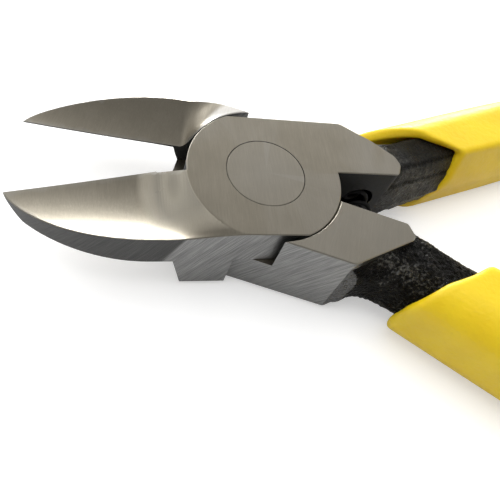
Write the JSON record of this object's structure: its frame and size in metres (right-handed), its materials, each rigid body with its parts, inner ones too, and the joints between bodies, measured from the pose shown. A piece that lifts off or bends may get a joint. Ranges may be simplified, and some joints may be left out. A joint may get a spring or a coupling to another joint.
{
  "type": "flush cut pliers",
  "caption": "Oblique side cutting pliers with a lap joint, hollow ground jaws, a flush pivot rivet, a return spring and dipped vinyl grips on slanted handles.",
  "frame": {"origin": "on the pivot axis, in the plane of the joint's rear face", "axes": "+X from the pivot towards the handles, along the bisector of the two halves at rest; +Y towards the upper handle; +Z along the pivot towards the front face"},
  "size_m": [0.1445, 0.0836, 0.0112],
  "materials": {
    "ground_steel": "finely ground and brushed head, black oxide on the forged tangs",
    "rivet_steel": "ground flush with the joint face",
    "spring_wire": "dark drawn spring wire",
    "dipped_vinyl": "semi gloss dipped vinyl"
  },
  "bodies": {
    "front": {"front_half": "ground_steel", "pivot_rivet": "rivet_steel", "return_spring": "spring_wire", "front_grip": "dipped_vinyl"},
    "rear": {"rear_half": "ground_steel", "rear_grip": "dipped_vinyl"}
  },
  "joints": [
    {"name": "jaw_pivot", "type": "hinge", "parent": "front", "child": "rear", "pos_m": [0, 0, 0], "axis": [0, 0, 1], "range_deg": [-9.2, 20.8], "deforming": ["return_spring"]}
  ]
}
